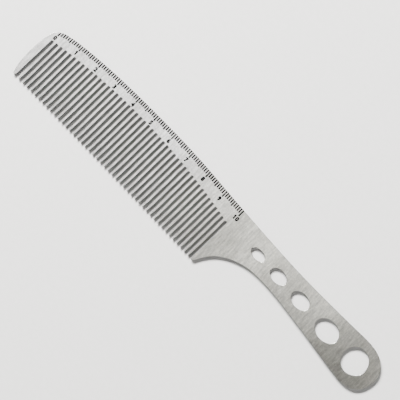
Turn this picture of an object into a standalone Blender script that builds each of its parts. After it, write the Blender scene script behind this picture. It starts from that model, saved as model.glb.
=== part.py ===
"""A flat stainless steel barber's comb with a handle, used to guard the hair while clipping over it.

One blank is stamped from sheet, with 45 pointed teeth, four oval holes and a hanging hole in its handle.
A 100 mm ruler is etched along its back, and its main marks and its numerals are filled with black enamel.
The comb lies flat on Z = 0, its length along X and its back towards +Y. Lengths are in metres.
"""

import math

import bmesh
import bpy
from mathutils import Matrix, Vector

MM = 0.001

# The sheet
THICKNESS = 1.0 * MM
EDGE_CHAMFER = 0.12 * MM
SHEET_WELD = 0.001 * MM
FLAT_ANGLE = math.radians(0.05)

# The teeth: slots at an even pitch, from the guard at the left end to the heel at the right
SLOT_COUNT = 46
SLOT_PITCH = 98.0 / 45 * MM
FIRST_SLOT_X = -90.0 * MM
TOOTH_WIDTH_AT_ROOT = 1.05 * MM
TOOTH_WIDTH_MID = 0.98 * MM
TOOTH_WIDTH_AT_TIP = 0.43 * MM
TAPER_LENGTH = 10.0 * MM
TIP_ROUND = 0.22 * MM
SLOT_CORNER_RADIUS = 0.3 * MM
SLOT_CORNER_ANGLES = (0, 30, 60, 90)
TAPER_DISTANCES = (1.2 * MM, 3.2 * MM, 7.0 * MM)

# The slots' upper ends lie on two parabolas that meet at the crown, and the tips on one more
CROWN_X = -46.0 * MM
CROWN_Y = 9.9 * MM
ROOT_DROP_LEFT = 3.8 * MM
ROOT_DROP_RIGHT = 5.0 * MM
TIP_Y_LEFT = -13.85 * MM
TIP_DROP_RIGHT = 1.25 * MM

# The outline as knots of x and y in millimetres and heading in degrees, clockwise round the comb
GUARD_KNOTS = (
    (-91.0, -12.9, -95),  # inner side of the guard's tip
    (-91.7, -13.8, 180),  # tip of the guard
    (-92.3, -13.0, 111),
    (-93.7, -4.0, 92),  # left end
    (-93.0, 6.1, 78),
    (-90.5, 10.5, 34),  # shoulder
    (-85.3, 12.3, 11),
)
BACK_KNOTS = (
    (-67.5, 14.3, 4.5),
    (-39.0, 15.15, 0.5),  # crown of the back
    (-6.0, 14.1, -4.5),
    (28.5, 11.9, -3),
    (50.0, 11.3, 0),  # waist of the handle
    (76.5, 11.75, 2),
)
HANDLE_KNOTS = (
    (89.0, 10.0, -28),
    (93.6, 1.8, -97),  # right end
    (91.2, -4.5, -131),
    (79.0, -6.8, -187),
    (55.0, -3.45, -187),
    (29.5, -1.65, -176),  # thinnest part of the neck
)
HEEL_KNOTS = (
    (16.8, -6.0, -147),
    (10.8, -13.0, -118),
    (9.8, -14.8, -125),
    (9.1, -15.2, -180),  # tip of the heel
    (8.5, -14.7, -270),
)
STEPS_BETWEEN_KNOTS = 10
STEPS_AT_TIPS = 4

# The handle's holes: centre x, centre y, half length and half height in millimetres, and tilt in degrees
OVAL_HOLES = (
    (26.1, 4.8, 3.45, 1.95, -2.2),
    (37.8, 4.45, 3.95, 2.6, -2.3),
    (50.6, 3.9, 4.4, 3.0, -2.4),
    (66.3, 3.1, 5.55, 4.15, -2.6),
)
HANGING_HOLE = (82.45, 2.55, 5.6, 5.6, 0.0)
HOLE_SIDES = 44

# The ruler: its marks start at the back, and after a short zero mark they grow longer towards the handle
RULER_ZERO_X = -90.1 * MM
RULER_LENGTH_MM = 100
FILLED_MARK_EVERY = 5
MARK_WIDTH = 0.5 * MM
FINE_MARK_LENGTHS = (1.7 * MM, 2.1 * MM)
HALF_CENTIMETRE_MARK_LENGTHS = (2.1 * MM, 2.6 * MM)
CENTIMETRE_MARK_LENGTHS = (2.4 * MM, 3.0 * MM)
ZERO_MARK_LENGTH = 1.8 * MM
NUMERAL_HEIGHT = 1.95 * MM
NUMERAL_BELOW_MARK = 1.3 * MM
NUMERAL_LEFT_OF_MARK = 0.2 * MM
TEN_SPREAD = 0.65 * MM
FONT_DIGIT_HEIGHT = 0.70
FONT_DIGIT_WIDTH = 0.50
FONT_DIGIT_MIDDLE = 0.341
FONT_SWELL = 0.06
FONT_CURVE_STEPS = 2
FONT_WELD = 0.0001
DRAWN_DIGITS = {
    "1": (
        (
            (0.08, 0.51),
            (0.20, 0.57),
            (0.20, 0.00),
            (0.30, 0.00),
            (0.30, 0.69),
            (0.23, 0.69),
            (0.08, 0.61),
        ),
    ),
    "4": (
        (
            (0.40, 0.69),
            (0.35, 0.69),
            (0.01, 0.27),
            (0.01, 0.22),
            (0.30, 0.22),
            (0.30, 0.00),
            (0.40, 0.00),
            (0.40, 0.22),
            (0.47, 0.22),
            (0.47, 0.31),
            (0.40, 0.31),
        ),
        ((0.30, 0.52), (0.30, 0.31), (0.14, 0.31)),
    ),
}

# The etched recesses and their filling
POCKET_DEPTH = 0.09 * MM
POCKET_CLEARANCE = 0.01 * MM
CUTTER_OVERHANG = 0.4 * MM

STEEL = ("stainless_steel", (0.62, 0.62, 0.60), 1.0, 0.34)
ENAMEL = ("black_enamel", (0.012, 0.012, 0.013), 0.0, 0.4)


def clear_scene():
    for item in list(bpy.data.objects):
        bpy.data.objects.remove(item, do_unlink=True)


def collection_of(name):
    group = bpy.data.collections.new(name)
    bpy.context.scene.collection.children.link(group)
    return group


def material_of(name, colour, metallic, roughness):
    material = bpy.data.materials.new(name)
    material.use_nodes = True
    shader = material.node_tree.nodes["Principled BSDF"]
    shader.inputs["Base Color"].default_value = (*colour, 1.0)
    shader.inputs["Metallic"].default_value = metallic
    shader.inputs["Roughness"].default_value = roughness
    material.diffuse_color = (*colour, 1.0)
    return material


def heading_vector(degrees):
    return Vector((math.cos(math.radians(degrees)), math.sin(math.radians(degrees))))


def arc_between(start, end, steps):
    """Points of the arc-like cubic from one knot to the next, without the last one."""
    first, last = Vector(start[:2]) * MM, Vector(end[:2]) * MM
    turn = math.radians((end[2] - start[2] + 180) % 360 - 180)
    reach = (last - first).length / (3 * math.cos(turn / 4) ** 2)
    out = first + reach * heading_vector(start[2])
    back = last - reach * heading_vector(end[2])
    points = []
    for step in range(steps):
        t = step / steps
        s = 1 - t
        points.append(s**3 * first + 3 * s * s * t * out + 3 * s * t * t * back + t**3 * last)
    return points


def curve_through(knots, steps):
    points = []
    for start, end in zip(knots, knots[1:]):
        points += arc_between(start, end, steps)
    return points + [Vector(knots[-1][:2]) * MM]


def body_outline():
    """The comb's outer edge from the guard's tip over the back and round the handle to the heel's tip."""
    tip = curve_through(GUARD_KNOTS[:3], STEPS_AT_TIPS)
    knots = GUARD_KNOTS[2:] + BACK_KNOTS + HANDLE_KNOTS + HEEL_KNOTS[:3]
    sweep = curve_through(knots, STEPS_BETWEEN_KNOTS)
    heel = curve_through(HEEL_KNOTS[2:], STEPS_AT_TIPS)
    return tip[:-1] + sweep[:-1] + heel


def slot_centre(index):
    return FIRST_SLOT_X + index * SLOT_PITCH


def root_y(x):
    """Height of a slot's upper end."""
    if x < CROWN_X:
        drop, span = ROOT_DROP_LEFT, CROWN_X - FIRST_SLOT_X
    else:
        drop, span = ROOT_DROP_RIGHT, slot_centre(SLOT_COUNT - 1) - CROWN_X
    return CROWN_Y - drop * ((x - CROWN_X) / span) ** 2


def tip_y(x):
    """Height of a tooth's tip."""
    along = (x - FIRST_SLOT_X) / (slot_centre(SLOT_COUNT - 1) - FIRST_SLOT_X)
    return TIP_Y_LEFT - TIP_DROP_RIGHT * along**2


def tooth_width(distance):
    """Width of a tooth's ground point at a distance from its tip."""
    fall = TOOTH_WIDTH_MID - TOOTH_WIDTH_AT_TIP
    return TOOTH_WIDTH_MID - fall * (1 - distance / TAPER_LENGTH) ** 3


def slot_end(x):
    """The slot's rounded upper end, from its right side to its left side."""
    half = (SLOT_PITCH - TOOTH_WIDTH_AT_ROOT) / 2
    top, radius = root_y(x), SLOT_CORNER_RADIUS
    points = []
    for side, first_angle in ((1, 0), (-1, 90)):
        centre = Vector((x + side * (half - radius), top - radius))
        for angle in SLOT_CORNER_ANGLES:
            points.append(centre + radius * heading_vector(first_angle + angle))
    return points


def tooth_end(x):
    """One tooth below its root, down its right side, round its tip and up its left side."""
    low = tip_y(x)
    side = [(TOOTH_WIDTH_AT_TIP / 2, TIP_ROUND)]
    side += [(tooth_width(distance) / 2, distance) for distance in TAPER_DISTANCES]
    right = [Vector((x + half, low + distance)) for half, distance in reversed(side)]
    left = [Vector((x - half, low + distance)) for half, distance in side]
    return right + [Vector((x, low))] + left


def teeth_outline():
    """The toothed edge from the heel back to the guard."""
    points = []
    for index in reversed(range(SLOT_COUNT)):
        points += slot_end(slot_centre(index))
        if index:
            points += tooth_end(slot_centre(index) - SLOT_PITCH / 2)
    return points


def hole_outline(hole):
    x, y, half_length, half_height, tilt = hole
    points = []
    for step in range(HOLE_SIDES):
        angle = math.tau * step / HOLE_SIDES
        point = Vector((half_length * math.cos(angle), half_height * math.sin(angle)))
        points.append(Vector((x, y)) * MM + Matrix.Rotation(math.radians(tilt), 2) @ point * MM)
    return points


def add_loop(curve, points):
    spline = curve.splines.new("POLY")
    spline.points.add(len(points) - 1)
    for target, point in zip(spline.points, points):
        target.co = (point.x, point.y, 0.0, 1.0)
    spline.use_cyclic_u = True


def mesh_from(item, weld):
    """A curve or text object made a mesh, and the object removed. The caps are welded, and each flat side
    is merged into a few large faces, so that small cuts in it stay clean."""
    bpy.context.view_layer.update()
    evaluated = item.evaluated_get(bpy.context.evaluated_depsgraph_get())
    mesh = bpy.data.meshes.new_from_object(evaluated)
    mesh.transform(item.matrix_world)
    shape = bmesh.new()
    shape.from_mesh(mesh)
    bmesh.ops.remove_doubles(shape, verts=shape.verts, dist=weld)
    bmesh.ops.dissolve_degenerate(shape, dist=weld, edges=shape.edges)
    bmesh.ops.dissolve_limit(shape, angle_limit=FLAT_ANGLE, verts=shape.verts, edges=shape.edges)
    bmesh.ops.recalc_face_normals(shape, faces=shape.faces)
    shape.to_mesh(mesh)
    shape.free()
    bpy.data.objects.remove(item, do_unlink=True)
    return mesh


def stamped_sheet(name, group):
    """The blank as it leaves the press and the tumbler: outline, holes and chamfered edges."""
    curve = bpy.data.curves.new(name, "CURVE")
    curve.dimensions = "2D"
    curve.fill_mode = "BOTH"
    curve.extrude = THICKNESS / 2 - EDGE_CHAMFER
    curve.bevel_depth = EDGE_CHAMFER
    curve.bevel_resolution = 0
    curve.offset = -EDGE_CHAMFER
    add_loop(curve, body_outline() + teeth_outline())
    for hole in (*OVAL_HOLES, HANGING_HOLE):
        add_loop(curve, hole_outline(hole))
    outline = bpy.data.objects.new(name + "_outline", curve)
    outline.location.z = THICKNESS / 2
    group.objects.link(outline)
    blank = bpy.data.objects.new(name, mesh_from(outline, SHEET_WELD))
    group.objects.link(blank)
    return blank


def back_y(x):
    """Height of the comb's back edge, read from its outline."""
    points = curve_through(GUARD_KNOTS[3:] + BACK_KNOTS, STEPS_BETWEEN_KNOTS)
    for left, right in zip(points, points[1:]):
        if left.x <= x <= right.x:
            return left.y + (right.y - left.y) * (x - left.x) / (right.x - left.x)
    raise ValueError("the ruler runs past the back edge")


def mark_x(millimetre):
    return RULER_ZERO_X + millimetre * MM


def mark_length(millimetre):
    if millimetre == 0:
        return ZERO_MARK_LENGTH
    if millimetre % 10 == 0:
        short, tall = CENTIMETRE_MARK_LENGTHS
    elif millimetre % 5 == 0:
        short, tall = HALF_CENTIMETRE_MARK_LENGTHS
    else:
        short, tall = FINE_MARK_LENGTHS
    return short + (tall - short) * millimetre / RULER_LENGTH_MM


def block_mesh(name, low, high):
    shape = bmesh.new()
    bmesh.ops.create_cube(shape, size=1.0)
    size = Matrix.Diagonal((*(high - low), 1.0))
    bmesh.ops.transform(shape, matrix=Matrix.Translation((low + high) / 2) @ size, verts=shape.verts)
    mesh = bpy.data.meshes.new(name)
    shape.to_mesh(mesh)
    shape.free()
    return mesh


def mark_mesh(millimetre, shrink, low_z, high_z, past_edge):
    """One ruler mark as a block that starts at the back edge and runs towards the teeth."""
    x, edge = mark_x(millimetre), back_y(mark_x(millimetre))
    half = MARK_WIDTH / 2 - shrink
    low = Vector((x - half, edge - mark_length(millimetre) + shrink, low_z))
    high = Vector((x + half, edge + past_edge, high_z))
    return block_mesh(f"mark_{millimetre:03d}_mm", low, high)


def numerals():
    """Each digit's node name, its character and the place of its centre."""
    placed = []
    for centimetre in range(RULER_LENGTH_MM // 10 + 1):
        x = mark_x(centimetre * 10)
        y = back_y(x) - mark_length(centimetre * 10) - NUMERAL_BELOW_MARK
        x -= NUMERAL_LEFT_OF_MARK
        if centimetre < 10:
            placed.append((f"numeral_{centimetre}", str(centimetre), x, y))
        else:
            placed.append(("numeral_10_one", "1", x - TEN_SPREAD, y))
            placed.append(("numeral_10_zero", "0", x + TEN_SPREAD, y))
    return placed


def digit_curve(name, character):
    """A digit's flat outline at the font's own size. The 1 and the 4 are drawn here, because the font's 1
    is a bare bar and its 4 has a tip inside that can't be swelled."""
    if character in DRAWN_DIGITS:
        curve = bpy.data.curves.new(name, "CURVE")
        curve.dimensions = "2D"
        for loop in DRAWN_DIGITS[character]:
            add_loop(curve, [Vector((x - FONT_DIGIT_WIDTH / 2, y)) for x, y in loop])
        return curve
    text = bpy.data.curves.new(name, "FONT")
    text.body = character
    text.align_x = "CENTER"
    text.resolution_u = FONT_CURVE_STEPS
    return text


def digit_mesh(name, character, x, y, shrink, low_z, high_z, group):
    """One bold digit as a solid with its middle at x, y. It is made at the font's size and scaled down."""
    scale = NUMERAL_HEIGHT / (FONT_DIGIT_HEIGHT + 2 * FONT_SWELL)
    curve = digit_curve(name, character)
    curve.fill_mode = "BOTH"
    curve.offset = FONT_SWELL - shrink / scale
    curve.extrude = (high_z - low_z) / 2 / scale
    digit = bpy.data.objects.new(name, curve)
    group.objects.link(digit)
    mesh = mesh_from(digit, FONT_WELD)
    mesh.transform(Matrix.Translation((0.0, -FONT_DIGIT_MIDDLE, 0.0)))
    mesh.transform(Matrix.Translation((x, y, (low_z + high_z) / 2)) @ Matrix.Scale(scale, 4))
    mesh.name = name
    return mesh


def pocket_cutter(group):
    """One cutter for every etched recess: all the ruler's marks and all its numerals."""
    low, high = THICKNESS - POCKET_DEPTH, THICKNESS + CUTTER_OVERHANG
    shape = bmesh.new()
    pieces = [
        mark_mesh(millimetre, 0.0, low, high, CUTTER_OVERHANG)
        for millimetre in range(RULER_LENGTH_MM + 1)
    ]
    for name, character, x, y in numerals():
        pieces.append(digit_mesh(name, character, x, y, 0.0, low, high, group))
    for piece in pieces:
        shape.from_mesh(piece)
        bpy.data.meshes.remove(piece)
    mesh = bpy.data.meshes.new("pocket_cutter")
    shape.to_mesh(mesh)
    shape.free()
    cutter = bpy.data.objects.new("pocket_cutter", mesh)
    cutter.hide_render = True
    cutter.display_type = "WIRE"
    group.objects.link(cutter)
    return cutter


def make_blank(group, cutters):
    blank = stamped_sheet("comb_blank", group)
    cut = blank.modifiers.new("etched_recesses", "BOOLEAN")
    cut.operation = "DIFFERENCE"
    cut.solver = "MANIFOLD"  # the exact solver leaves the blank open at one digit
    cut.object = pocket_cutter(cutters)
    blank.data.materials.append(material_of(*STEEL))


def make_enamel(group):
    """The black filling of the ruler's main marks and of its numerals, just below the steel's surface."""
    low = THICKNESS - POCKET_DEPTH + POCKET_CLEARANCE
    high = THICKNESS - POCKET_CLEARANCE
    fillings = []
    for millimetre in range(0, RULER_LENGTH_MM + 1, FILLED_MARK_EVERY):
        fillings.append(mark_mesh(millimetre, POCKET_CLEARANCE, low, high, -EDGE_CHAMFER))
    for name, character, x, y in numerals():
        fillings.append(digit_mesh(name, character, x, y, POCKET_CLEARANCE, low, high, group))
    for mesh in fillings:
        mesh.materials.append(material_of(*ENAMEL))
        group.objects.link(bpy.data.objects.new(mesh.name, mesh))


def main():
    clear_scene()
    comb = collection_of("barber_comb")
    cutters = collection_of("cutters")
    make_blank(comb, cutters)
    make_enamel(comb)


main()
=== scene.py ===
"""Looks of a flat stainless steel barber's comb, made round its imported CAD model. Lengths are in metres."""

import math

import bmesh
import bpy
from mathutils import Matrix, Quaternion, Vector


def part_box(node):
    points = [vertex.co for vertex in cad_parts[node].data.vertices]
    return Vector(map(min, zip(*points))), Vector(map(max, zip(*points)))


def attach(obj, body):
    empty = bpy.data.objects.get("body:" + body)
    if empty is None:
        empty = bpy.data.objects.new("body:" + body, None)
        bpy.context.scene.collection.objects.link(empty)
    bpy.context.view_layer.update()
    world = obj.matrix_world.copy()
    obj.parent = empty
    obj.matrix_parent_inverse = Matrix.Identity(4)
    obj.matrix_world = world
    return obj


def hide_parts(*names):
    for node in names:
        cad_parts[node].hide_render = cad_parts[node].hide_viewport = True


MM = 0.001

# Camera: straight down on the comb, which lies across the picture's diagonal
CAMERA_TURN = math.radians(45.5)
CAMERA_AIM = (-5.17 * MM, 3.58 * MM)
VIEW_WIDTH = 156.8 * MM
LENS = 135.0
SENSOR = 36.0

# The blank's edges: flat sides are merged, then both rims of every chamfer are rounded off
WELD = 0.0005 * MM
SHORT_EDGE = 0.015 * MM
FLAT_ANGLE = math.radians(0.05)
ROUNDED_WIDTH = 0.04 * MM
ROUNDED_STEPS = 2
SHARP_ANGLE = math.radians(35)
FLAT_SLOPE = 0.999
CHAMFER_SLOPE = 0.35
STEEL, CHAMFER, WALL, RECESS = range(4)

# The ruler's enamel, which stands a little proud of the steel and overlaps it round each recess
RULER_MARKS = 100
MAIN_MARK_EVERY = 5
RECESS_LEVEL_TOLERANCE = 0.01 * MM
LONGEST_FINE_MARK = 2.6 * MM
MARK_SEARCH_MARGIN = 0.05 * MM
ENAMEL_CLEARANCE = 0.01 * MM
ENAMEL_OVERLAP = 0.085 * MM
ENAMEL_EDGE_SETBACK = 0.14 * MM
ENAMEL_RIM = 0.004 * MM
ENAMEL_CROWN = 0.012 * MM
CROWN_FLATNESS = 6

# The numerals' enamel is worked in millimetres, as a thick solid that is flattened again
NUMERAL_WORKING_THICKNESS = 0.5
NUMERAL_VOXEL = 0.03
NUMERAL_SMOOTHING_BEFORE = 2
NUMERAL_SMOOTHING_AFTER = 5
NUMERAL_GROWTH = 0.05
NUMERAL_DETAIL = 0.35

# The satin finish's bands, and painted shade that darkens the handle on the whole: brightness at places along
# X in millimetres, and how far the bands' edges wander
SATIN_BANDS_AND_PAINTED_SHADE = ((-94, 1.0), (0, 1.0), (13, 0.56), (27, 1.16), (43, 0.62), (57, 1.06), (73, 0.5), (94, 0.84))
BAND_WANDER = 3 * MM
# The handle: painted shade on its lower side and a painted highlight on its upper side, as brightness at two
# places along Y, and its tint.
# Both set in between two places along X.
HANDLE_PAINTED_LIGHT = (0.74, 1.26)
HANDLE_PAINTED_LIGHT_AT = (-8 * MM, 10 * MM)
HANDLE_PAINTED_LIGHT_SET_IN = (20 * MM, 60 * MM)
HANDLE_TINT = (1.0, 1.0, 0.92)
HANDLE_TINT_SETS_IN = (-20 * MM, 15 * MM)
GRAIN_MAP = "grain"
BUMP_HEIGHT = 0.01 * MM

FLOOR_SIZE = 3.0
SOFTBOX_PLACE = (-0.11, 0.05, 0.80)
SOFTBOX_ROLL = math.radians(10)


def make_camera():
    """A camera straight above the comb, as high as its lens needs to take in the view's width."""
    data = bpy.data.cameras.new("camera")
    data.lens = LENS
    data.sensor_width = SENSOR
    data.clip_start = 10 * MM
    camera = bpy.data.objects.new("camera", data)
    bpy.context.scene.collection.objects.link(camera)
    height = top_z() + VIEW_WIDTH * LENS / SENSOR
    camera.location = (*CAMERA_AIM, height)
    camera.rotation_euler = (0.0, 0.0, CAMERA_TURN)
    bpy.context.scene.camera = camera


def top_z():
    """Height of the blank's upper face."""
    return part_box("comb_blank")[1][2]


def new_material(name):
    """A material with its node tree and its shader."""
    material = bpy.data.materials.new(name)
    material.use_nodes = True
    tree = material.node_tree
    return material, tree, tree.nodes["Principled BSDF"]


def stretched_noise(tree, sizes, detail, roughness=0.5, seed=0.0):
    """Noise whose features measure the given sizes in metres along X, Y and Z."""
    place = tree.nodes.new("ShaderNodeTexCoord")
    stretch = tree.nodes.new("ShaderNodeMapping")
    stretch.inputs["Scale"].default_value = tuple(1 / size for size in sizes)
    stretch.inputs["Location"].default_value = (seed, seed, seed)
    texture = tree.nodes.new("ShaderNodeTexNoise")
    texture.inputs["Scale"].default_value = 1.0
    texture.inputs["Detail"].default_value = detail
    texture.inputs["Roughness"].default_value = roughness
    tree.links.new(place.outputs["Object"], stretch.inputs["Vector"])
    tree.links.new(stretch.outputs["Vector"], texture.inputs["Vector"])
    return texture.outputs["Fac"]


def in_range(tree, value, low, high, from_low=0.3, from_high=0.7):
    """A value mapped from one range to another. Noise keeps mostly to the range from 0.3 to 0.7."""
    node = tree.nodes.new("ShaderNodeMapRange")
    node.inputs["From Min"].default_value = from_low
    node.inputs["From Max"].default_value = from_high
    node.inputs["To Min"].default_value = low
    node.inputs["To Max"].default_value = high
    tree.links.new(value, node.inputs["Value"])
    return node.outputs["Result"]


def combine(tree, operation, first, second):
    """Arithmetic on two values, each a socket or a number."""
    node = tree.nodes.new("ShaderNodeMath")
    node.operation = operation
    for socket, value in zip(node.inputs, (first, second)):
        if isinstance(value, (int, float)):
            socket.default_value = value
        else:
            tree.links.new(value, socket)
    return node.outputs["Value"]


def blend_colours(tree, factor, first, second):
    """A colour between two others."""
    node = tree.nodes.new("ShaderNodeMix")
    node.data_type = "RGBA"
    tree.links.new(factor, node.inputs["Factor"])
    node.inputs["A"].default_value = (*first, 1.0)
    node.inputs["B"].default_value = (*second, 1.0)
    return node.outputs["Result"]


def multiply_colours(tree, first, second):
    """The product of two colours, or of a colour and a value."""
    node = tree.nodes.new("ShaderNodeMix")
    node.data_type = "RGBA"
    node.blend_type = "MULTIPLY"
    node.inputs["Factor"].default_value = 1.0
    tree.links.new(first, node.inputs["A"])
    tree.links.new(second, node.inputs["B"])
    return node.outputs["Result"]


def add_bump(tree, shader, height, strength):
    """Fine relief on a shader's surface."""
    bump = tree.nodes.new("ShaderNodeBump")
    bump.inputs["Strength"].default_value = strength
    bump.inputs["Distance"].default_value = BUMP_HEIGHT
    tree.links.new(height, bump.inputs["Height"])
    tree.links.new(bump.outputs["Normal"], shader.inputs["Normal"])


def coordinates(tree):
    """The object's own X and Y as values."""
    place = tree.nodes.new("ShaderNodeTexCoord")
    split = tree.nodes.new("ShaderNodeSeparateXYZ")
    tree.links.new(place.outputs["Object"], split.inputs["Vector"])
    return split.outputs["X"], split.outputs["Y"]


def satin_bands_and_painted_shade(tree, x):
    """Soft bands that satin finishing has left along the comb, and painted shade that darkens the handle on
    the whole where the light falls off.
    """
    wander = stretched_noise(tree, (14 * MM, 10 * MM, 10 * MM), detail=2.0, seed=5.1)
    shifted = combine(tree, "ADD", x, in_range(tree, wander, -BAND_WANDER, BAND_WANDER))
    start, end = SATIN_BANDS_AND_PAINTED_SHADE[0][0], SATIN_BANDS_AND_PAINTED_SHADE[-1][0]
    ramp = tree.nodes.new("ShaderNodeValToRGB")
    tree.links.new(in_range(tree, shifted, 0.0, 1.0, start * MM, end * MM), ramp.inputs["Fac"])
    ramp.color_ramp.interpolation = "B_SPLINE"
    elements = ramp.color_ramp.elements
    for place, _ in SATIN_BANDS_AND_PAINTED_SHADE[1:-1]:
        elements.new((place - start) / (end - start))
    # Painted shade: past the teeth the brightness is lower on the whole, so the handle is darker.
    for element, (_, brightness) in zip(elements, SATIN_BANDS_AND_PAINTED_SHADE):
        element.color = (brightness, brightness, brightness, 1.0)
    return ramp.outputs["Color"]


def painted_handle_light(tree, x, y):
    """Painted light on the handle: its lower side painted darker as shade and its upper side painted brighter
    as a highlight.
    """
    side = in_range(tree, y, *HANDLE_PAINTED_LIGHT, *HANDLE_PAINTED_LIGHT_AT)
    reach = in_range(tree, x, 0.0, 1.0, *HANDLE_PAINTED_LIGHT_SET_IN)
    change = combine(tree, "MULTIPLY", combine(tree, "SUBTRACT", side, 1.0), reach)
    return combine(tree, "ADD", change, 1.0)


def handle_tint(tree, x):
    """White over the teeth, turning to a warm tint on the handle."""
    warmth = in_range(tree, x, 0.0, 1.0, *HANDLE_TINT_SETS_IN)
    return blend_colours(tree, warmth, (1.0, 1.0, 1.0), HANDLE_TINT)


def brushing(tree):
    """Brightness of the brushed finish: strokes across the comb, with a fine speckle."""
    strokes = stretched_noise(tree, (0.75 * MM, 4 * MM, 1 * MM), detail=3.0, roughness=0.6, seed=8.3)
    speckle = stretched_noise(tree, (0.7 * MM, 0.7 * MM, 0.7 * MM), detail=2.0, roughness=0.6, seed=2.9)
    coarse = in_range(tree, strokes, 0.74, 1.26)
    fine = in_range(tree, speckle, 0.86, 1.14)
    return combine(tree, "MULTIPLY", coarse, fine)


def brushed_steel():
    """Satin stainless: fine grain across the comb, soft bands with painted shade on the handle, painted
    highlight and painted shade on the handle's two sides, and a warmer handle.
    """
    material, tree, shader = new_material("brushed_stainless")
    shader.inputs["Metallic"].default_value = 1.0
    shader.inputs["Anisotropic"].default_value = 0.15
    across_grain = tree.nodes.new("ShaderNodeTangent")
    across_grain.direction_type = "UV_MAP"
    across_grain.uv_map = GRAIN_MAP
    tree.links.new(across_grain.outputs["Tangent"], shader.inputs["Tangent"])
    grain = stretched_noise(tree, (0.35 * MM, 5 * MM, 0.5 * MM), detail=4.0, roughness=0.6)
    clouds = stretched_noise(tree, (7 * MM, 16 * MM, 8 * MM), detail=3.0, seed=3.7)
    fine, broad = combine(tree, "MULTIPLY", grain, 0.45), combine(tree, "MULTIPLY", clouds, 0.55)
    tone = combine(tree, "ADD", fine, broad)
    dull, bright = (0.57, 0.558, 0.54), (0.77, 0.76, 0.745)
    colour = blend_colours(tree, in_range(tree, tone, 0.0, 1.0, 0.34, 0.66), dull, bright)
    x, y = coordinates(tree)
    # Painted light among these changes: the bands' painted shade on the handle, and the handle's painted
    # bright upper and dark lower sides.
    for change in (brushing(tree), satin_bands_and_painted_shade(tree, x), painted_handle_light(tree, x, y), handle_tint(tree, x)):
        colour = multiply_colours(tree, colour, change)
    tree.links.new(colour, shader.inputs["Base Color"])
    tree.links.new(in_range(tree, tone, 0.33, 0.28), shader.inputs["Roughness"])
    add_bump(tree, shader, grain, 0.25)
    return material


def painted_shade_chamfer():
    """Chamfers: plain grey, without the faces' brushed grain, and duller; painted darker than bare steel as
    painted shade, which dims the key light's glints and gives the outline a dark line.
    """
    material, tree, shader = new_material("painted_shade_chamfer")
    shader.inputs["Metallic"].default_value = 1.0
    marks = stretched_noise(tree, (0.3 * MM, 0.3 * MM, 0.3 * MM), detail=3.0)
    # Painted shade: far darker than bare steel, to dim the key light's glints and darken the outline.
    colour = blend_colours(tree, marks, (0.18, 0.18, 0.178), (0.26, 0.26, 0.257))
    tree.links.new(colour, shader.inputs["Base Color"])
    tree.links.new(in_range(tree, marks, 0.40, 0.50), shader.inputs["Roughness"])
    add_bump(tree, shader, marks, 0.1)
    return material


def painted_shade_sheared_edge():
    """Stamped walls of the outline, the slots and the holes, with striations through the thickness: painted
    near-black as painted shade, so the slots between the teeth stay dark.
    """
    material, tree, shader = new_material("painted_shade_sheared_edge")
    shader.inputs["Metallic"].default_value = 1.0
    lines = stretched_noise(tree, (0.06 * MM, 0.06 * MM, 1.2 * MM), detail=3.0, roughness=0.6, seed=0.7)
    # Painted shade: walls near-black, far darker than bare steel, so the slots' floors stay dark.
    colour = blend_colours(tree, in_range(tree, lines, 0.0, 1.0), (0.03, 0.03, 0.03), (0.07, 0.07, 0.069))
    tree.links.new(colour, shader.inputs["Base Color"])
    tree.links.new(in_range(tree, lines, 0.55, 0.42), shader.inputs["Roughness"])
    add_bump(tree, shader, lines, 0.4)
    return material


def black_enamel():
    """Baked black filling, slightly uneven and worn thin in places."""
    material, tree, shader = new_material("black_enamel")
    patches = stretched_noise(tree, (0.35 * MM, 0.35 * MM, 0.35 * MM), detail=3.0, roughness=0.6, seed=1.3)
    wear = in_range(tree, patches, 0.0, 1.0, 0.45, 0.8)
    colour = blend_colours(tree, wear, (0.0015, 0.0015, 0.0016), (0.006, 0.006, 0.006))
    tree.links.new(colour, shader.inputs["Base Color"])
    tree.links.new(in_range(tree, patches, 0.4, 0.6), shader.inputs["Roughness"])
    shader.inputs["Specular IOR Level"].default_value = 0.08
    add_bump(tree, shader, patches, 0.3)
    return material


def pale_floor():
    """A matt pale floor, very slightly speckled."""
    material, tree, shader = new_material("pale_floor")
    speckle = stretched_noise(tree, (2 * MM, 2 * MM, 2 * MM), detail=2.0)
    colour = blend_colours(tree, in_range(tree, speckle, 0.0, 1.0), (0.49, 0.49, 0.485), (0.51, 0.51, 0.505))
    tree.links.new(colour, shader.inputs["Base Color"])
    shader.inputs["Roughness"].default_value = 0.8
    shader.inputs["Specular IOR Level"].default_value = 0.2
    return material


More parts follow.
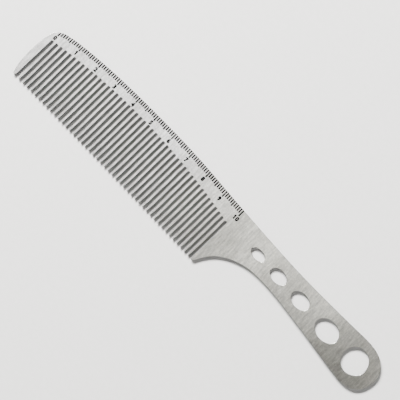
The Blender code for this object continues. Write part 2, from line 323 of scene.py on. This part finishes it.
def finish_blank(enamel):
    """The blank with the rims of its chamfers rounded off and its etched recesses blackened."""
    shape = bmesh.new()
    shape.from_mesh(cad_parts["comb_blank"].data)
    bmesh.ops.remove_doubles(shape, verts=shape.verts, dist=WELD)
    bmesh.ops.dissolve_limit(shape, angle_limit=FLAT_ANGLE, verts=shape.verts, edges=shape.edges)
    bmesh.ops.dissolve_degenerate(shape, dist=SHORT_EDGE, edges=shape.edges)
    shape.normal_update()
    lay_grain_map(shape)
    sort_faces(shape)
    rims = [edge for edge in shape.edges if is_rim(edge)]
    bmesh.ops.bevel(
        shape, geom=rims, offset=ROUNDED_WIDTH, offset_type="OFFSET", segments=ROUNDED_STEPS,
        profile=0.5, affect="EDGES", clamp_overlap=True,
    )
    mesh = bpy.data.meshes.new("polished_blank")
    shape.to_mesh(mesh)
    shape.free()
    finishes = {STEEL: brushed_steel(), CHAMFER: painted_shade_chamfer(), WALL: painted_shade_sheared_edge(), RECESS: enamel}
    for index in sorted(finishes):
        mesh.materials.append(finishes[index])
    mesh.set_sharp_from_angle(angle=SHARP_ANGLE)
    for polygon in mesh.polygons:
        polygon.use_smooth = abs(polygon.normal.z) < FLAT_SLOPE
    blank = bpy.data.objects.new("polished_blank", mesh)
    bpy.context.scene.collection.objects.link(blank)
    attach(blank, "root")
    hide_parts("comb_blank")


def lay_grain_map(shape):
    """A map that runs with X and Y over the whole blank, in metres, and gives the grain its direction."""
    layer = shape.loops.layers.uv.new(GRAIN_MAP)
    for face in shape.faces:
        for loop in face.loops:
            loop[layer].uv = loop.vert.co.xy


def sort_faces(shape):
    """Gives each face of the blank its material."""
    level = recess_level()
    for face in shape.faces:
        slope = abs(face.normal.z)
        if is_recess(face, level):
            face.material_index = RECESS
        elif slope > FLAT_SLOPE:
            face.material_index = STEEL
        else:
            face.material_index = CHAMFER if slope > CHAMFER_SLOPE else WALL


def recess_level():
    """Height of the etched recesses' floors, which lie just under the CAD filling."""
    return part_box("mark_000_mm")[0][2] - ENAMEL_CLEARANCE


def is_recess(face, level):
    """Whether a face is the floor or a wall of an etched recess."""
    above = all(vertex.co.z > level - RECESS_LEVEL_TOLERANCE for vertex in face.verts)
    upright = abs(face.normal.z) < CHAMFER_SLOPE
    floor = face.calc_center_median().z < level + RECESS_LEVEL_TOLERANCE
    return above and (upright or floor)


def is_rim(edge):
    """Whether a chamfer meets a flat side or a wall at an edge."""
    if len(edge.link_faces) != 2:
        return False
    first, second = edge.link_faces
    indices = {first.material_index, second.material_index}
    return CHAMFER in indices and RECESS not in indices and len(indices) == 2


def recess_points():
    """Corners of the etched recesses' floors."""
    level = recess_level()
    points = [vertex.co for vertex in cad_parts["comb_blank"].data.vertices]
    return [point for point in points if abs(point.z - level) < RECESS_LEVEL_TOLERANCE]


def mark_middle(millimetre):
    """Where a main mark's middle lies along X."""
    low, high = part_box(f"mark_{millimetre:03d}_mm")
    return (low[0] + high[0]) / 2


def enamel_bar(shape, low, high):
    """A bar of enamel whose top is slightly crowned, as thick paint is when it has dried."""
    made = bmesh.ops.create_grid(shape, x_segments=4, y_segments=8, size=0.5)["verts"]
    for vertex in made:
        across, along = vertex.co.x * 2, vertex.co.y * 2
        crown = ENAMEL_CROWN * (1 - across**2) * (1 - along**CROWN_FLATNESS)
        vertex.co.x = low.x + (high.x - low.x) * (vertex.co.x + 0.5)
        vertex.co.y = low.y + (high.y - low.y) * (vertex.co.y + 0.5)
        vertex.co.z = high.z + crown
    faces = list({face for vertex in made for face in vertex.link_faces})
    walls = bmesh.ops.extrude_face_region(shape, geom=faces)["geom"]
    for vertex in walls:
        if isinstance(vertex, bmesh.types.BMVert):
            vertex.co.z = low.z
    bmesh.ops.reverse_faces(shape, faces=[face for face in walls if isinstance(face, bmesh.types.BMFace)])


def enamel_piece(name, shape, enamel, *nodes):
    """A finished piece of enamel that stands for the named nodes."""
    bmesh.ops.recalc_face_normals(shape, faces=shape.faces)
    mesh = bpy.data.meshes.new(name)
    shape.to_mesh(mesh)
    shape.free()
    mesh.materials.append(enamel)
    filling = bpy.data.objects.new(name, mesh)
    bpy.context.scene.collection.objects.link(filling)
    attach(filling, "root")
    if nodes:
        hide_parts(*nodes)


def fill_fine_marks(enamel):
    """The enamel of the 80 millimetre marks between the main ones, one bar in each recess."""
    floor_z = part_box("mark_000_mm")[0][2]
    first, last = mark_middle(0), mark_middle(RULER_MARKS)
    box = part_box("mark_005_mm")
    half = (box[1][0] - box[0][0]) / 2
    floors, surface = recess_points(), top_z()
    shape = bmesh.new()
    for millimetre in range(RULER_MARKS + 1):
        if millimetre % MAIN_MARK_EVERY == 0:
            continue
        x = first + (last - first) * millimetre / RULER_MARKS
        heights = [point.y for point in floors if abs(point.x - x) < half + MARK_SEARCH_MARGIN]
        top = max(heights)
        bottom = min(y for y in heights if y > top - LONGEST_FINE_MARK)
        reach = half + ENAMEL_OVERLAP
        low = Vector((x - reach, bottom - ENAMEL_OVERLAP, floor_z))
        high = Vector((x + reach, top - ENAMEL_EDGE_SETBACK, surface + ENAMEL_RIM))
        enamel_bar(shape, low, high)
    enamel_piece("fine_mark_enamel", shape, enamel)


def fill_main_mark(millimetre, enamel):
    """The enamel of one of the marks at every fifth millimetre."""
    node = f"mark_{millimetre:03d}_mm"
    low, high = (Vector(corner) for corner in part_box(node))
    low -= Vector((ENAMEL_OVERLAP, ENAMEL_OVERLAP, 0.0))
    high += Vector((ENAMEL_OVERLAP, 0.0, 0.0))
    high.z = top_z() + ENAMEL_RIM
    shape = bmesh.new()
    enamel_bar(shape, low, high)
    enamel_piece(f"mark_{millimetre:03d}_enamel", shape, enamel, node)


def fill_numeral(node, enamel):
    """One numeral's enamel: its recess's filling, grown outwards, rounded off and raised past the surface."""
    low, high = (Vector(corner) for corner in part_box(node))
    middle, top = (low + high) / 2, top_z() + ENAMEL_RIM + ENAMEL_CROWN
    enlarge = Matrix.Diagonal((1 / MM, 1 / MM, NUMERAL_WORKING_THICKNESS / (high.z - low.z), 1.0))
    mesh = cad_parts[node].data.copy()
    mesh.transform(enlarge @ Matrix.Translation(-middle))
    grown = grow_and_round(mesh)
    shape = bmesh.new()
    shape.from_mesh(grown)
    bpy.data.meshes.remove(grown)
    bpy.data.meshes.remove(mesh)
    half = max(vertex.co.z for vertex in shape.verts)
    shrink = Matrix.Diagonal((MM, MM, (top - low.z) / 2 / half, 1.0))
    place = Matrix.Translation((middle.x, middle.y, (top + low.z) / 2))
    bmesh.ops.transform(shape, matrix=place @ shrink, verts=shape.verts)
    for face in shape.faces:
        face.smooth = True
    enamel_piece(f"{node}_enamel", shape, enamel, node)


def grow_and_round(mesh):
    """A mesh in millimetres with its surface moved outwards and its corners rounded off."""
    item = bpy.data.objects.new("growing", mesh)
    bpy.context.scene.collection.objects.link(item)
    add_even_faces(item)
    add_smoothing(item, NUMERAL_SMOOTHING_BEFORE)
    grow = item.modifiers.new("grow", "DISPLACE")
    grow.mid_level = 0.0
    grow.strength = NUMERAL_GROWTH
    add_even_faces(item)  # also removes the folds that growing leaves in the inner corners
    add_smoothing(item, NUMERAL_SMOOTHING_AFTER)
    thin_out = item.modifiers.new("thin_out", "DECIMATE")
    thin_out.ratio = NUMERAL_DETAIL
    bpy.context.view_layer.update()
    grown = bpy.data.meshes.new_from_object(item.evaluated_get(bpy.context.evaluated_depsgraph_get()))
    bpy.data.objects.remove(item, do_unlink=True)
    return grown


def add_even_faces(item):
    """A modifier that rebuilds the surface from small faces of one size."""
    even_out = item.modifiers.new("even_out", "REMESH")
    even_out.mode = "VOXEL"
    even_out.voxel_size = NUMERAL_VOXEL


def add_smoothing(item, iterations):
    """A modifier that smooths the surface."""
    smooth = item.modifiers.new("smooth", "SMOOTH")
    smooth.iterations = iterations


def fill_recesses(enamel):
    """The enamel of the whole ruler."""
    fill_fine_marks(enamel)
    for millimetre in range(0, RULER_MARKS + 1, MAIN_MARK_EVERY):
        fill_main_mark(millimetre, enamel)
    for node in [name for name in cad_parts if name.startswith("numeral_")]:
        fill_numeral(node, enamel)


def make_floor():
    """The floor that the comb lies on."""
    shape = bmesh.new()
    bmesh.ops.create_grid(shape, x_segments=1, y_segments=1, size=FLOOR_SIZE / 2)
    mesh = bpy.data.meshes.new("floor")
    shape.to_mesh(mesh)
    shape.free()
    mesh.materials.append(pale_floor())
    floor = bpy.data.objects.new("floor", mesh)
    bpy.context.scene.collection.objects.link(floor)


def area_light(name, location, width, height, radiance, colour, aim=(0.0, 0.0, 0.0), roll=0.0):
    """A soft rectangular light, unseen by the camera, aimed at a point and rolled about its own axis."""
    data = bpy.data.lights.new(name, "AREA")
    data.shape = "RECTANGLE"
    data.size = width
    data.size_y = height
    data.energy = radiance * math.pi * width * height
    data.color = colour
    light = bpy.data.objects.new(name, data)
    light.location = location
    facing = (Vector(aim) - Vector(location)).to_track_quat("-Z", "Y")
    light.rotation_euler = (facing @ Quaternion((0.0, 0.0, 1.0), roll)).to_euler()
    light.visible_camera = False
    bpy.context.scene.collection.objects.link(light)


def make_world():
    """A dim studio, brighter towards the horizon."""
    world = bpy.data.worlds.new("studio")
    world.use_nodes = True
    tree = world.node_tree
    place = tree.nodes.new("ShaderNodeTexCoord")
    split = tree.nodes.new("ShaderNodeSeparateXYZ")
    tree.links.new(place.outputs["Generated"], split.inputs["Vector"])
    height = in_range(tree, split.outputs["Z"], 0.0, 1.0, 0.0, 0.5)
    colour = blend_colours(tree, height, (1.0, 0.985, 0.955), (0.062, 0.058, 0.051))
    background = tree.nodes["Background"]
    tree.links.new(colour, background.inputs["Color"])
    bpy.context.scene.world = world


def make_lights():
    """A softbox over the comb's head, a low key light beyond the head and a weak fill opposite it."""
    area_light(
        "head_softbox", location=SOFTBOX_PLACE, width=0.47, height=0.13, radiance=5.8,
        colour=(0.985, 0.99, 1.0), aim=(*SOFTBOX_PLACE[:2], 0.0), roll=SOFTBOX_ROLL,
    )
    area_light(
        "key", location=(-1.0, 0.58, 0.62), width=0.8, height=0.24, radiance=330.0,
        colour=(1.0, 0.985, 0.965),
    )
    area_light(
        "fill", location=(1.0, -0.58, 0.50), width=1.0, height=0.4, radiance=8.0,
        colour=(1.0, 0.98, 0.96),
    )


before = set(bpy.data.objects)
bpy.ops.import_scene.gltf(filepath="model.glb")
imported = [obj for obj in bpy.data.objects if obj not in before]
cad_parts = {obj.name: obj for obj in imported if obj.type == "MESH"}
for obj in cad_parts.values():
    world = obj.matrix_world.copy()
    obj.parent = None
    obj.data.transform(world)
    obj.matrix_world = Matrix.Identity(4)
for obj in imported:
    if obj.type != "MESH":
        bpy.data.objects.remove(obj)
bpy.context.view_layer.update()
make_camera()
make_floor()
make_world()
make_lights()
enamel_material = black_enamel()
finish_blank(enamel_material)
fill_recesses(enamel_material)
